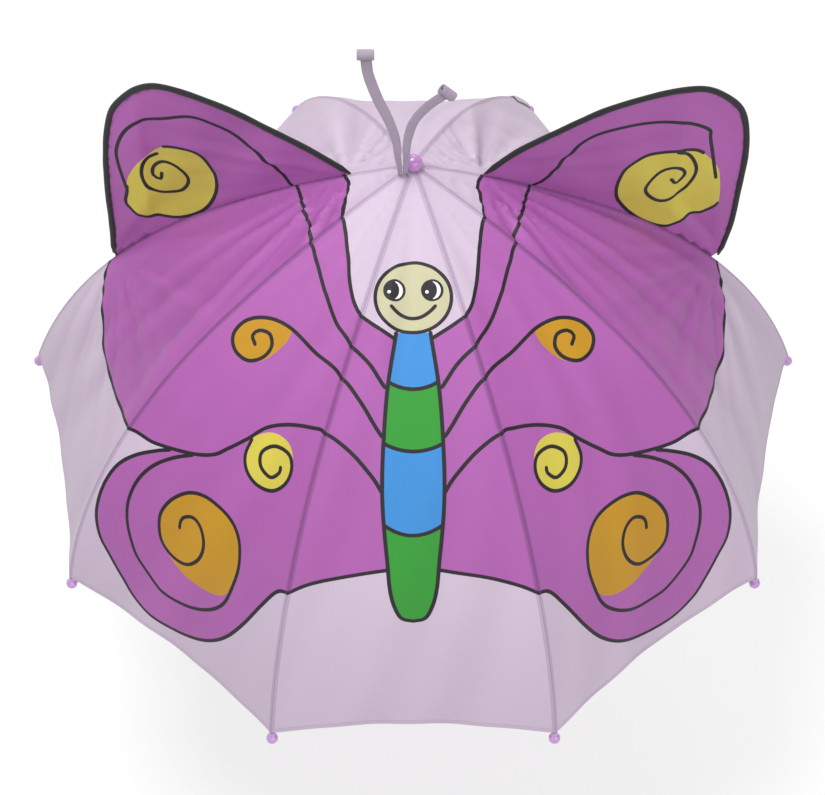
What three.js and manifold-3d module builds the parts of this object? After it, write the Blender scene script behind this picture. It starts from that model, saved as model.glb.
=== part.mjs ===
// A child's umbrella with a butterfly canopy: eight sprung ribs, stretchers and a
// sliding runner on a steel shaft, two boned wing fins, two feelers and a crook handle.
// Millimetres. +Z runs up the shaft, the canopy's front faces -Y, and the origin is
// the middle of the hand grip.

import * as THREE from 'three';
import { mergeVertices } from 'three/addons/utils/BufferGeometryUtils.js';
import Module from 'manifold-3d';

const wasm = await Module();
wasm.setup();

// ---- driving dimensions ----

const APEX_Z = 520;            // where the fabric would meet the shaft's axis
const RIB_LENGTH = 460;        // arc length from the axis to a rib's end
const PIVOT_S = 10;            // arc length at which a rib hinges on the notch
const JOINT_S = 190;           // arc length at which a rib meets its stretcher
const HEM_S = 453;             // arc length at which the fabric ends
const INNER_S = 5.8;           // arc length at which the fabric starts, beside the shaft
const START_SLOPE = 20.5;      // degrees below level at the axis
const RIB_BEND = 34;           // degrees of bend along a whole rib
const RIB_DROP = 4.6;          // how far a rib's centre line lies under the fabric at its rivet
const TIP_DROP = 2.6;          // and at its end

// The ribs, from the front round by the right: the way each points, in degrees from
// -Y towards +X, and how much more it bends outside its stretcher.
const RIBS = [
  { way: 20, extra: 44 }, { way: 61, extra: 44 }, { way: 103, extra: 28 }, { way: 163, extra: -10 },
  { way: -163, extra: -10 }, { way: -103, extra: 28 }, { way: -61, extra: 44 }, { way: -20, extra: 44 },
];
const WING_RIBS = { right: 2, left: 5 };

const FABRIC = 0.8;            // thickness of a panel
const PANEL_DIP = 0.03;        // a panel's hollow, as a share of its width
const SEAM_HALF_GAP = 0.35;
const RIB_R = 1.2;
const STRETCHER_R = 1.1;
const WIRE_R = 0.5;            // the ring wires the ribs and stretchers turn on
const SHAFT_R = 4;
const SHAFT_WALL = 0.6;
const GAP = 0.3;               // between pieces that touch

const RUNNER_LENGTH = 40;
const CATCH_WAY = 133;         // the catches press in from this side, between two ribs
const CATCH_OUT = 6.2;         // how far from the axis a catch's nose reaches
const HANDLE_TOP = 45;
const CROOK_R = 27;
const GRIP_R = 8.5;

// ---- colours ----

const LILAC = 0xcdbed2, PURPLE = 0xb45fb4, STEEL = 0xb9bcc4, TIP = 0xc396d2;
const CAP = 0xb97dc4, BINDING = 0x231c26, FEELER = 0x96879b, PLASTIC = 0xb28ac6;

const umbrella = new THREE.Group();
umbrella.name = 'butterfly_umbrella';

function add(name, geometry, { color, roughness = 0.5, metalness = 0 }, parent = umbrella) {
  const mesh = new THREE.Mesh(geometry, new THREE.MeshStandardMaterial({ color, roughness, metalness }));
  mesh.name = name;
  parent.add(mesh);
  return mesh;
}

// ---- solids ----

function toManifold(geometry) {
  const plain = geometry.clone();
  plain.deleteAttribute('normal');
  plain.deleteAttribute('uv');
  const merged = mergeVertices(plain, 1e-4);
  return new wasm.Manifold(new wasm.Mesh({
    numProp: 3,
    vertProperties: Float32Array.from(merged.attributes.position.array),
    triVerts: Uint32Array.from(merged.index.array),
  }));
}

function toGeometry(manifold) {
  const mesh = manifold.getMesh();
  const geometry = new THREE.BufferGeometry();
  geometry.setAttribute('position', new THREE.BufferAttribute(Float32Array.from(mesh.vertProperties), 3));
  geometry.setIndex(new THREE.BufferAttribute(Uint32Array.from(mesh.triVerts), 1));
  geometry.computeVertexNormals();
  return geometry;
}

const join = (...parts) => toGeometry(parts.map(toManifold).reduce((all, one) => all.add(one)));
const cut = (body, ...tools) =>
  toGeometry(tools.map(toManifold).reduce((left, tool) => left.subtract(tool), toManifold(body)));

// A ring or disc turned about local Y, the way a rib's pivots run.
function washer(inner, outer, width, segments = 10) {
  const h = width / 2;
  const profile = [[inner, -h], [outer, -h], [outer, h], [inner, h], [inner, -h]];
  return new THREE.LatheGeometry(profile.map(([x, y]) => new THREE.Vector2(x, y)), segments);
}

// A closed profile of [radius, height] points turned about +Z.
function turned(profile, segments = 32) {
  const points = [...profile, profile[0]].map(([r, z]) => new THREE.Vector2(r, z));
  return new THREE.LatheGeometry(points, segments).rotateX(Math.PI / 2);
}

function box(sx, sy, sz, x = 0, y = 0, z = 0) {
  return new THREE.BoxGeometry(sx, sy, sz).translate(x, y, z);
}

// A round rod along a list of points.
function rod(points, radius, steps, sides = 6) {
  const circle = new THREE.Shape().absarc(0, 0, radius, 0, 2 * Math.PI);
  const path = points.length === 2
    ? new THREE.LineCurve3(...points) : new THREE.CatmullRomCurve3(points, false, 'centripetal');
  return new THREE.ExtrudeGeometry(circle, { steps, curveSegments: sides / 2, bevelEnabled: false, extrudePath: path });
}

// A flat arm of the given thickness in local Y, lying along a direction in the XZ plane.
function arm(from, angle, start, end, thickness, height, y) {
  return box(end - start, thickness, height, (start + end) / 2, y, 0)
    .rotateY(angle).translate(from.x, 0, from.z);
}

// ---- the line of a rib ----

const radians = THREE.MathUtils.degToRad;

// Points of the fabric line over a rib: radius, height from the apex, slope.
function ribLine(extra) {
  const step = 0.5;
  const line = [{ r: 0, z: 0, slope: radians(START_SLOPE) }];
  for (let s = step; s <= RIB_LENGTH + 20; s += step) {
    const slope = radians(START_SLOPE + (RIB_BEND * s + extra * Math.max(0, s - JOINT_S)) / RIB_LENGTH);
    const last = line.at(-1);
    const mean = (slope + last.slope) / 2;
    line.push({ r: last.r + step * Math.cos(mean), z: last.z - step * Math.sin(mean), slope });
  }
  return (s) => {
    const i = Math.min(Math.floor(s / step), line.length - 2);
    const t = s / step - i;
    const mix = (key) => line[i][key] * (1 - t) + line[i + 1][key] * t;
    return { r: mix('r'), z: mix('z'), slope: mix('slope') };
  };
}
const ribLines = RIBS.map((rib) => ribLine(rib.extra));

// A point of that line moved along its outward normal, in the rib's own XZ plane.
function offset(line, s, out) {
  const { r, z, slope } = line(s);
  return new THREE.Vector3(r + out * Math.sin(slope), 0, z + out * Math.cos(slope));
}

// A point of the rib's own centre line.
function ribCentre(line, s) {
  const t = Math.max(0, s - JOINT_S) / (RIB_LENGTH - JOINT_S);
  return offset(line, s, -THREE.MathUtils.lerp(RIB_DROP, TIP_DROP, t));
}

const pivot = ribCentre(ribLines[0], PIVOT_S);
const elbow = ribCentre(ribLines[0], JOINT_S);
const RING_R = pivot.x;
// The stretcher is as long as the rib's inner part, so the runner hangs straight below.
const runnerPivot = new THREE.Vector3(RING_R, 0, 2 * elbow.z - pivot.z);

function ribGroup(way) {
  const group = new THREE.Group();
  group.rotation.z = radians(way - 90);
  group.position.z = APEX_Z;
  umbrella.add(group);
  return group;
}

// ---- frame: ribs, stretchers and tips ----

const steel = { color: STEEL, roughness: 0.32, metalness: 0.9 };
const EYE = [0.9, 1.7, 1.6];
const LUG = { r: 2.2, hole: 1, width: 0.9, y: 0.6 };
const CHEEK = { r: 1.9, width: 0.8, y: 1.9, length: 14 };

function slopeAngle(from, to) {
  return Math.atan2(-(to.z - from.z), to.x - from.x);
}

function innerRib(line) {
  const points = [PIVOT_S + 1.3, 60, 100, 145, JOINT_S - 3].map((s) => ribCentre(line, s));
  const back = line(JOINT_S).slope + Math.PI;
  return join(
    rod(points, RIB_R, 7),
    washer(...EYE).translate(pivot.x, 0, pivot.z),
    washer(LUG.hole, LUG.r, LUG.width).translate(elbow.x, LUG.y, elbow.z),
    arm(elbow, back, 1.5, 5.5, LUG.width, 2, LUG.y),
  );
}

function outerRib(line) {
  const points = [JOINT_S + 3, 230, 270, 310, 350, 390, 425, 448, RIB_LENGTH].map((s) => ribCentre(line, s));
  return join(
    rod(points, RIB_R, 10),
    washer(LUG.hole, LUG.r, LUG.width).translate(elbow.x, -LUG.y, elbow.z),
    arm(elbow, line(JOINT_S).slope, 1.5, 5.5, LUG.width, 2, -LUG.y),
  );
}

function stretcher() {
  const run = runnerPivot.clone().sub(elbow);
  const along = (d) => elbow.clone().addScaledVector(run, d / run.length());
  const angle = slopeAngle(elbow, runnerPivot);
  const cheeks = [CHEEK.y, -CHEEK.y].flatMap((y) => [
    new THREE.CylinderGeometry(CHEEK.r, CHEEK.r, CHEEK.width, 12).translate(elbow.x, y, elbow.z),
    arm(elbow, angle, 0, CHEEK.length, CHEEK.width, 2.4, y),
  ]);
  return join(
    rod([along(CHEEK.length - 2), along(run.length() - 1.3)], STRETCHER_R, 1),
    washer(...EYE).translate(runnerPivot.x, 0, runnerPivot.z),
    ...cheeks,
    arm(elbow, angle, CHEEK.length - 3, CHEEK.length, 2 * CHEEK.y + CHEEK.width, 2.4, 0),
    new THREE.CylinderGeometry(0.7, 0.7, 2 * CHEEK.y + CHEEK.width, 8).translate(elbow.x, 0, elbow.z),
  );
}

// A moulded ball with a neck and a blind socket for the rib's end.
function ribTip(line) {
  const BALL_R = 4.5, NECK_R = 2.4, SOCKET_R = RIB_R + GAP;
  const ball = [];
  for (let a = 36; a <= 180; a += 24) {
    ball.push([Math.max(BALL_R * Math.sin(radians(a)), 0), BALL_R * Math.cos(radians(a))]);
  }
  const profile = [...ball.reverse(), [NECK_R, 4.2], [NECK_R, 7.4], [SOCKET_R, 7.4], [SOCKET_R, 1], [0, 1]];
  const end = ribCentre(line, RIB_LENGTH);
  const slope = line(RIB_LENGTH).slope;
  return turned(profile, 10).rotateY(Math.PI / 2 + slope + Math.PI)
    .translate(end.x + 1.3 * Math.cos(slope), 0, end.z - 1.3 * Math.sin(slope));
}

RIBS.forEach((rib, i) => {
  const group = ribGroup(rib.way);
  const line = ribLines[i];
  add(`rib_inner_${i + 1}`, innerRib(line), steel, group);
  add(`rib_outer_${i + 1}`, outerRib(line), steel, group);
  add(`stretcher_${i + 1}`, stretcher(), steel, group);
  add(`rib_tip_${i + 1}`, ribTip(line), { color: TIP, roughness: 0.3 }, group);
});

// ---- hub: notch, runner, ring wires, stop pin ----

// Slots for the eight ribs or stretchers, open outwards.
function ribSlots(bottom, top) {
  return RIBS.map(({ way }) =>
    box(9, 3, top - bottom, 9.5, 0, (top + bottom) / 2).rotateZ(radians(way - 90)));
}
const groove = (z) => new THREE.TorusGeometry(RING_R, WIRE_R + GAP, 6, 24).translate(0, 0, z);
const ringWire = () => new THREE.TorusGeometry(RING_R, WIRE_R, 6, 24);
const white = { color: 0xe9e6ea, roughness: 0.45 };

const NOTCH_BORE = SHAFT_R + GAP;
const notchTop = pivot.z + 0.2;
add('top_notch', cut(
  turned([[NOTCH_BORE, notchTop - 12], [6.6, notchTop - 12], [7.4, notchTop - 9], [9.2, notchTop - 6],
    [9.2, notchTop], [NOTCH_BORE, notchTop]], 24),
  groove(pivot.z), ...ribSlots(notchTop - 13, notchTop + 5)), white).position.z = APEX_Z;
add('notch_wire', ringWire(), steel).position.z = APEX_Z + pivot.z;

const RUNNER_BORE = SHAFT_R + 0.4;
const RUNNER_Z = APEX_Z + runnerPivot.z;
const keyway = box(CATCH_OUT + GAP, 1.9, 60, (CATCH_OUT + GAP) / 2, 0, -20).rotateZ(radians(CATCH_WAY - 90));
add('runner', cut(
  turned([[RUNNER_BORE, 0.2], [RUNNER_BORE, -RUNNER_LENGTH], [9.6, -RUNNER_LENGTH], [10.6, -RUNNER_LENGTH + 1],
    [10.6, -RUNNER_LENGTH + 4], [9, -RUNNER_LENGTH + 6], [8.4, -24], [8.4, -9], [9.6, -6.5], [9.6, 0.2]], 32),
  groove(0), keyway, ...ribSlots(-4.5, 4)), { color: PLASTIC, roughness: 0.35 }).position.z = RUNNER_Z;
add('runner_wire', ringWire(), steel).position.z = RUNNER_Z;

const STOP_Z = RUNNER_Z + 6;
add('stop_pin', new THREE.CylinderGeometry(0.8, 0.8, 12.4, 12), steel).position.z = STOP_Z;

// ---- catches ----

const CLOSE_ANGLE = radians(57);
const openAngle = Math.atan2(elbow.x - pivot.x, pivot.z - elbow.z);
const innerLength = Math.hypot(elbow.x - pivot.x, elbow.z - pivot.z);
const closedRunnerZ = APEX_Z + pivot.z - 2 * innerLength * Math.cos(openAngle - CLOSE_ANGLE);
const CATCHES = {
  upper_catch: RUNNER_Z - RUNNER_LENGTH - 6.4,
  lower_catch: closedRunnerZ - RUNNER_LENGTH + 8,
};

function catchLever() {
  const side = new THREE.Shape([[0.4, -16], [1.4, -16], [1.4, -11], [CATCH_OUT, 4.8], [CATCH_OUT, 6], [0.4, 6]]
    .map(([x, z]) => new THREE.Vector2(x, z)));
  return new THREE.ExtrudeGeometry(side, { depth: 1, bevelEnabled: false })
    .translate(0, 0, -0.5).rotateX(Math.PI / 2);
}

for (const [name, z] of Object.entries(CATCHES)) {
  const lever = add(name, catchLever(), steel);
  lever.rotation.z = radians(CATCH_WAY - 90);
  lever.position.z = z;
}

// ---- shaft and cap ----

const SHAFT_TOP = APEX_Z + 3;
const SHAFT_BOTTOM = -14;
const catchSlots = Object.values(CATCHES).map((z) =>
  box(4, 1.6, 20, 4, 0, z - 3).rotateZ(radians(CATCH_WAY - 90)));
add('shaft_tube', cut(
  turned([[SHAFT_R - SHAFT_WALL, SHAFT_BOTTOM], [SHAFT_R, SHAFT_BOTTOM], [SHAFT_R, SHAFT_TOP],
    [SHAFT_R - SHAFT_WALL, SHAFT_TOP]]),
  ...catchSlots, new THREE.CylinderGeometry(1.1, 1.1, 20, 12).translate(0, 0, STOP_Z)), steel);

function cap() {
  const BORE = SHAFT_R + GAP, CAP_R = 7.2, CAP_WAIST = 1.5, CAP_RISE = 6.8;
  const dome = [];
  for (let a = 0; a <= 90; a += 15) {
    dome.push([CAP_R * Math.cos(radians(a)), CAP_WAIST + CAP_RISE * Math.sin(radians(a))]);
  }
  dome[dome.length - 1][0] = 0;
  return turned([[0, 4], [BORE, 4], [BORE, -1.2], [6.3, -1.2], [7.1, 0], ...dome], 24);
}
add('ferrule_cap', cap(), { color: CAP, roughness: 0.18 }).position.z = APEX_Z;

// ---- handle ----

function crook() {
  const points = [new THREE.Vector3(0, 0, HANDLE_TOP), new THREE.Vector3(0, 0, 15), new THREE.Vector3(0, 0, -18)];
  for (let a = 0; a <= 180; a += 20) {
    points.push(new THREE.Vector3(CROOK_R * (1 - Math.cos(radians(a))), 0, -34 - CROOK_R * Math.sin(radians(a))));
  }
  points.push(new THREE.Vector3(2 * CROOK_R, 0, -26));
  return cut(rod(points, GRIP_R, 24, 16),
    new THREE.CylinderGeometry(SHAFT_R + GAP, SHAFT_R + GAP, 62, 24).rotateX(Math.PI / 2)
      .translate(0, 0, HANDLE_TOP + 2 - 31 - 15 + 14));
}
add('handle', crook(), { color: PLASTIC, roughness: 0.25 });
add('handle_collar', turned([[SHAFT_R + GAP, 0], [9.2, 0], [9.2, 4], [7.6, 7], [SHAFT_R + GAP, 7]]),
  { color: CAP, roughness: 0.2 }).position.z = HANDLE_TOP + GAP;

// ---- canopy ----

function ribPoint(i, s) {
  const { r, z, slope } = ribLines[i](s);
  const way = radians(RIBS[i].way);
  return { point: new THREE.Vector3(r * Math.sin(way), -r * Math.cos(way), z), slope };
}

// The panel between rib i and the next: w runs across it, s along the ribs.
function panelPoint(i, w, s) {
  const a = ribPoint(i, s), b = ribPoint((i + 1) % RIBS.length, s);
  const width = a.point.distanceTo(b.point);
  const middle = a.point.clone().add(b.point).setZ(0).normalize();
  const slope = (a.slope + b.slope) / 2;
  const hollow = PANEL_DIP * width * 4 * w * (1 - w);
  return a.point.clone().lerp(b.point, w).addScaledVector(middle, -hollow * Math.sin(slope))
    .add(new THREE.Vector3(0, 0, -hollow * Math.cos(slope)));
}

function panel(i) {
  const geometry = new THREE.BoxGeometry(1, 1, 1, 6, 10, 1);
  const at = geometry.attributes.position;
  for (let n = 0; n < at.count; n++) {
    const s = INNER_S + (HEM_S - INNER_S) * (at.getY(n) + 0.5);
    const width = panelPoint(i, 0, s).distanceTo(panelPoint(i, 1, s));
    const margin = SEAM_HALF_GAP / width;
    const w = margin + (1 - 2 * margin) * (at.getX(n) + 0.5);
    const across = panelPoint(i, w + 0.01, s).sub(panelPoint(i, w - 0.01, s));
    const down = panelPoint(i, w, s + 1).sub(panelPoint(i, w, s - 1));
    const out = down.cross(across).normalize();
    const p = panelPoint(i, w, s).addScaledVector(out, FABRIC * at.getZ(n));
    at.setXYZ(n, p.x, p.y, p.z);
  }
  geometry.index.array.reverse();
  geometry.computeVertexNormals();
  return geometry;
}

RIBS.forEach((_, i) => {
  add(`canopy_panel_${i + 1}`, panel(i), { color: LILAC, roughness: 0.85 }).position.z = APEX_Z;
});

// ---- wing fins ----

const FIN_START_S = 54, FIN_END_S = 288, FIN_THICKNESS = 1.2, BINDING_R = 2.6;
const FIN_EDGE = [[49, -18], [76, -1], [104, 12], [140, 27], [180, 36], [204, 33], [226, 19], [243, -2],
  [249, -30], [250, -80], [250, -120], [249, -152]];
const finCurve = new THREE.SplineCurve(FIN_EDGE.map(([r, z]) => new THREE.Vector2(r, z)));

// The fin's edge line moved inwards.
function finEdge(t, inset) {
  const p = finCurve.getPoint(t), along = finCurve.getTangent(t);
  return new THREE.Vector2(p.x + inset * along.y, p.y - inset * along.x);
}

function fin() {
  const line = ribLines[WING_RIBS.right];
  const outline = [];
  for (let n = 0; n <= 24; n++) {
    outline.push(finEdge(0.06 + 0.92 * n / 24, 2 * BINDING_R + 2 * GAP));
  }
  for (let s = FIN_END_S; s >= FIN_START_S + 12; s -= 18.5) {
    const p = offset(line, s, 1.1);
    outline.push(new THREE.Vector2(p.x, p.z));
  }
  return new THREE.ExtrudeGeometry(new THREE.Shape(outline), { depth: FIN_THICKNESS, bevelEnabled: false })
    .translate(0, 0, -FIN_THICKNESS / 2).rotateX(Math.PI / 2);
}

function finBinding() {
  const points = [];
  for (let n = 0; n <= 20; n++) {
    const p = finEdge(0.045 + 0.935 * n / 20, BINDING_R);
    points.push(new THREE.Vector3(p.x, 0, p.y));
  }
  return rod(points, BINDING_R, 24, 8);
}

for (const [side, i] of Object.entries(WING_RIBS)) {
  const group = ribGroup(RIBS[i].way);
  add(`wing_${side}`, fin(), { color: PURPLE, roughness: 0.8 }, group);
  add(`wing_binding_${side}`, finBinding(), { color: BINDING, roughness: 0.7 }, group);
}

// ---- feelers and tie strap ----

// A flat band along a path: widths holds the direction of its width at both ends.
function ribbon(points, widths, width, thickness, steps) {
  const path = new THREE.CatmullRomCurve3(points, false, 'centripetal');
  const geometry = new THREE.BoxGeometry(width, 1, thickness, 1, steps, 1);
  const at = geometry.attributes.position;
  for (let n = 0; n < at.count; n++) {
    const t = at.getY(n) + 0.5;
    const along = path.getTangent(t);
    const side = widths[0].clone().lerp(widths[1], t);
    side.addScaledVector(along, -side.dot(along)).normalize();
    const out = side.clone().cross(along);
    const p = path.getPoint(t).addScaledVector(side, at.getX(n)).addScaledVector(out, at.getZ(n));
    at.setXYZ(n, p.x, p.y, p.z);
  }
  geometry.computeVertexNormals();
  return geometry;
}

// Height up a feeler, then how far it stands to the side; both lean back a little.
const LEAN = radians(12);
const FEELERS = {
  left: { route: [[-4, -11.8], [14, -11.8], [30, -12.6], [46, -17], [64, -25], [82, -31], [94, -32.5]], roll: 0 },
  right: { route: [[-3, -2.6], [14, -2.6], [30, -2.6], [44, 0.5], [54, 7], [61, 14], [66, 21]], roll: -0.75 },
};
const V = (x, y, z) => new THREE.Vector3(x, y, z);

function feeler({ route, roll }) {
  const points = route.map(([h, x]) => V(x, -9.6 + Math.max(0, h - 20) * Math.sin(LEAN), h));
  const end = points.at(-1), heading = end.clone().sub(points.at(-2)).normalize();
  const axis = V(Math.cos(roll), 0, Math.sin(roll));
  const tube = washer(1.6, 4.4, 12, 20).rotateZ(-Math.PI / 2).rotateY(-roll)
    .translate(...end.clone().addScaledVector(heading, 3.4));
  return join(ribbon(points, [V(1, 0, 0), axis], 8, 1.6, 14), tube);
}

for (const [side, shape] of Object.entries(FEELERS)) {
  add(`antenna_${side}`, feeler(shape), { color: FEELER, roughness: 0.85 }).position.z = APEX_Z;
}

const strapLine = ribLines[3];
const strapPoints = [362, 390, 418, 446].map((s) => offset(strapLine, s, 1.6));
add('tie_strap', ribbon(strapPoints, [V(0, 1, 0), V(0, 1, 0)], 14, 1.2, 6),
  { color: LILAC, roughness: 0.85 }, ribGroup(RIBS[3].way));

umbrella.updateMatrixWorld(true);
export default umbrella;
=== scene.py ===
import math

import bpy
import numpy as np
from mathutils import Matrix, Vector
from mathutils.geometry import delaunay_2d_cdt


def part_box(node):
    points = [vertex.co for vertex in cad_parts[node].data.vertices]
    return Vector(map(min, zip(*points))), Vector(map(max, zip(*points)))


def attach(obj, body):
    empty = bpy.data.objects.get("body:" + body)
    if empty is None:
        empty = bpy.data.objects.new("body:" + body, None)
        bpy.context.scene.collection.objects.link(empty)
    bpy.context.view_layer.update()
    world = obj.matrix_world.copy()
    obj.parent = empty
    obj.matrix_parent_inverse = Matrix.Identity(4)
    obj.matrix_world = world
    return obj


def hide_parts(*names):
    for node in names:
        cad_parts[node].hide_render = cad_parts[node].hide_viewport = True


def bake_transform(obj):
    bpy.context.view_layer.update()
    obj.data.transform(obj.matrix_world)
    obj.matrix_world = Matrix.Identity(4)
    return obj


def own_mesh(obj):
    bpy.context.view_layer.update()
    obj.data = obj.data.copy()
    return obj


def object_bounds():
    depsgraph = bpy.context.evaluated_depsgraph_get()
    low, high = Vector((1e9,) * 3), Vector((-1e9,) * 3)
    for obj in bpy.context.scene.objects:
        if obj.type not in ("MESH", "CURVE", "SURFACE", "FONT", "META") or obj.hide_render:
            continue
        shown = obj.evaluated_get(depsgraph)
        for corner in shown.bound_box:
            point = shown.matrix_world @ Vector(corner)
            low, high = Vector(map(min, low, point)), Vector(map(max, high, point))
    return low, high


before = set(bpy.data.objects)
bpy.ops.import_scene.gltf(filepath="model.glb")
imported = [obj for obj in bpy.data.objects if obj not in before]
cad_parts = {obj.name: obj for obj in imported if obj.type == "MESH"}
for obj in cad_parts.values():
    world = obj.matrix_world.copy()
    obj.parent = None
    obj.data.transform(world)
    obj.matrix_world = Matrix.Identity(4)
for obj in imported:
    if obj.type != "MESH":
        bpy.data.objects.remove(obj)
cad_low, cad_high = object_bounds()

# A child's butterfly umbrella. Lengths below are in millimetres and heights are from the apex,
# where the fabric would meet the shaft. Meshes are turned into metres as they are made.

MM = 0.001
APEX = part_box("ferrule_cap")[0][2] / MM + 1.2

# ---- the canopy's shape ----

RIB_LENGTH = 460
JOINT_S = 190          # arc length from the axis to the stretcher's rivet
HEM_S = 453            # to the hem at a rib
INNER_S = 5.8          # to the cloth's inner edge
START_SLOPE = 20.5     # degrees below level at the notch
RIB_BEND = 34          # degrees that a rib turns down over its length
PANEL_DIP = 0.03       # how deep a gore hangs between its ribs, as a share of its width
HEM_SCALLOP = 3.5      # how far the hem pulls in between two ribs
ARC_STEP = 0.5
# The way each rib points, in degrees from -Y towards +X, and its extra bend past the rivet.
RIBS = [(20, 44), (61, 44), (103, 28), (163, -10), (-163, -10), (-103, 28), (-61, 44), (-20, 44)]
COUNT = len(RIBS)
WING_RIBS = {"right": 2, "left": 5}
WING_FOOT = (54, 288)  # arc lengths between which a wing is sewn to its rib

ARC = np.arange(0, RIB_LENGTH + 20.5, ARC_STEP)


def rib_line(extra):
    """A rib's fabric line: distance from the axis, height and slope at each step of ARC."""
    slope = np.radians(START_SLOPE + (RIB_BEND * ARC + extra * np.maximum(0, ARC - JOINT_S)) / RIB_LENGTH)
    mean = (slope[1:] + slope[:-1]) / 2
    r = np.concatenate([[0], np.cumsum(ARC_STEP * np.cos(mean))])
    z = -np.concatenate([[0], np.cumsum(ARC_STEP * np.sin(mean))])
    return r, z, slope


LINES = [rib_line(extra) for _, extra in RIBS]


def rib_point(i, s):
    """Points of the fabric line over rib i, and its slope there."""
    r, z, slope = (np.interp(s, ARC, column) for column in LINES[i])
    way = math.radians(RIBS[i][0])
    return np.stack([r * math.sin(way), -r * math.cos(way), z], -1), slope


def chord(k, s):
    """The straight width of gore k at arc length s."""
    return np.linalg.norm(rib_point((k + 1) % COUNT, s)[0] - rib_point(k, s)[0], axis=-1)


def gore_point(k, x, s, out=0.0):
    """A point of gore k, x from its middle line and s along it, moved out along the fabric's normal."""
    a, slope_a = rib_point(k, s)
    b, slope_b = rib_point((k + 1) % COUNT, s)
    width = chord(k, s)
    w = (0.5 + x / width)[..., None]
    middle = (a + b) * [1, 1, 0]
    middle /= np.linalg.norm(middle, axis=-1)[..., None]
    slope = ((slope_a + slope_b) / 2)[..., None]
    normal = middle * np.sin(slope) + np.array([0, 0, 1]) * np.cos(slope)
    hollow = PANEL_DIP * width[..., None] * 4 * w * (1 - w)
    return a * (1 - w) + b * w + normal * (np.asarray(out)[..., None] - hollow)


def hem_at(k, x):
    """The arc length of gore k's hem at x: the hem pulls in a little between two ribs."""
    w = 0.5 + x / chord(k, HEM_S)
    return HEM_S - HEM_SCALLOP * 4 * w * (1 - w)


def ways_of(k):
    """The directions of the two ribs of gore k, rising."""
    a, b = RIBS[k][0], RIBS[(k + 1) % COUNT][0]
    return (a, b if b > a else b + 360)


def x_of(k, way, s):
    """Where a direction lies across gore k, from its middle line."""
    a, b = ways_of(k)
    return ((way - a) / (b - a) - 0.5) * chord(k, s)


def way_of(k, x, s):
    """The direction of a point of gore k, x from its middle line."""
    a, b = ways_of(k)
    return a + (b - a) * (x / chord(k, s) + 0.5)


# ---- the print ----

# Points of the right half of the print, (degrees from the front, arc length). The left half mirrors it.
WING_INNER = [(103, 56), (91, 54), (72, 61), (57, 66), (41, 84), (30, 105), (24, 115), (20, 119), (13, 127),
              (6.5, 135)]
UPPER_EDGE = [(103, 296), (100, 308), (95, 318), (89, 325), (84, 325), (78, 318), (70, 306), (61, 291),
              (55, 289), (48, 280), (43.5, 270), (41, 258), (38, 243), (35, 228), (30, 216), (24, 208),
              (20, 206), (13.7, 219), (8.5, 237), (5.8, 251)]
FIN_LINE = [(103, 97), (87, 95), (63.5, 92), (50, 104), (38.5, 119.5), (29, 133), (21, 140.5), (13.3, 154),
            (7.7, 171.5)]
TENDRIL = [(7.1, 208), (13.6, 182), (21, 164), (32, 160), (43, 155), (51, 158), (55.5, 168), (55.8, 182),
           (52.5, 192), (48, 193.5), (45, 185), (44.7, 174.5), (47.3, 167.5), (50.6, 169.5), (51.2, 175.5),
           (49, 180)]
TENDRIL_FILL = [(43, 155), (51, 158), (55.5, 168), (55.8, 182), (52.5, 192), (48, 193.5), (44.5, 187),
                (42.3, 174), (41.5, 163)]
SMALL_SPIRAL = [(37.1, 242), (37, 254.5), (35.3, 264), (32.2, 269), (28.7, 266), (26.2, 255), (25.8, 243),
                (27.5, 235), (31.2, 235.5), (33.6, 245), (32.7, 255), (30, 258), (28.4, 251), (28.5, 247)]
SMALL_FILL = [(37.1, 242), (37, 254.5), (35.3, 264), (32.2, 269), (28.7, 266), (26.2, 255), (25.8, 243),
              (26.6, 234), (28.4, 228), (31, 226.5), (33.6, 229), (35.8, 235)]
LOWER_WING = [(51.8, 287), (54, 294), (57, 306.5), (59, 321.5), (59.7, 340), (59.5, 360), (58.7, 376.5),
              (57, 392), (54.5, 403), (51.5, 417), (49, 427.5), (45.2, 433.5), (40.7, 432), (37, 425.5),
              (33.5, 414), (30.6, 398.5), (27.9, 377), (25, 350.5), (22.3, 330.5), (19.7, 324.5), (16.7, 319),
              (11, 313.5), (4.5, 309)]
BIG_SPIRAL = [(47.3, 280), (50.3, 290.5), (53, 305), (54.5, 323), (54.6, 344), (53.5, 361.5), (51.5, 377.5),
              (49.5, 389), (45.6, 399), (43, 402), (38.7, 399), (35, 388.5), (32.3, 373), (31.2, 352.5),
              (31, 333.5), (32.4, 315.5), (35.5, 304.5), (40.4, 302), (44.5, 307.5), (47.1, 320.5),
              (48.2, 335.5), (47.8, 348), (46.3, 360), (43.6, 365), (40.6, 363), (38.7, 352), (38.5, 338),
              (40, 327), (42.2, 324), (44, 329.5), (44.2, 335.5), (44, 339)]
BIG_FILL = [(35.5, 304.5), (40.4, 302), (44.5, 307.5), (47.1, 320.5), (48.2, 335.5), (47.8, 348), (46.3, 360),
            (43, 369), (39, 374), (35.4, 373), (32.6, 366), (31.2, 352.5), (31, 333.5), (32.4, 315.5)]
BODY_SIDE = [(6.0, 131), (6.9, 169), (6.6, 213), (5.9, 254), (4.4, 301), (3.8, 323), (3.0, 338), (1.8, 348.5),
             (0, 351)]
BODY_ENDS = (131, 351)                                  # arc length of the body's two ends
BODY_BANDS = [(167.5, 173), (213, 219), (274, 282)]     # arc length at the body's edge, and at its middle
HEAD = (104.5, 27, 26.5)                                # the head's arc length, half width and half height
EYE = {"x": 13.4, "s": 99, "r": 8}
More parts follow.
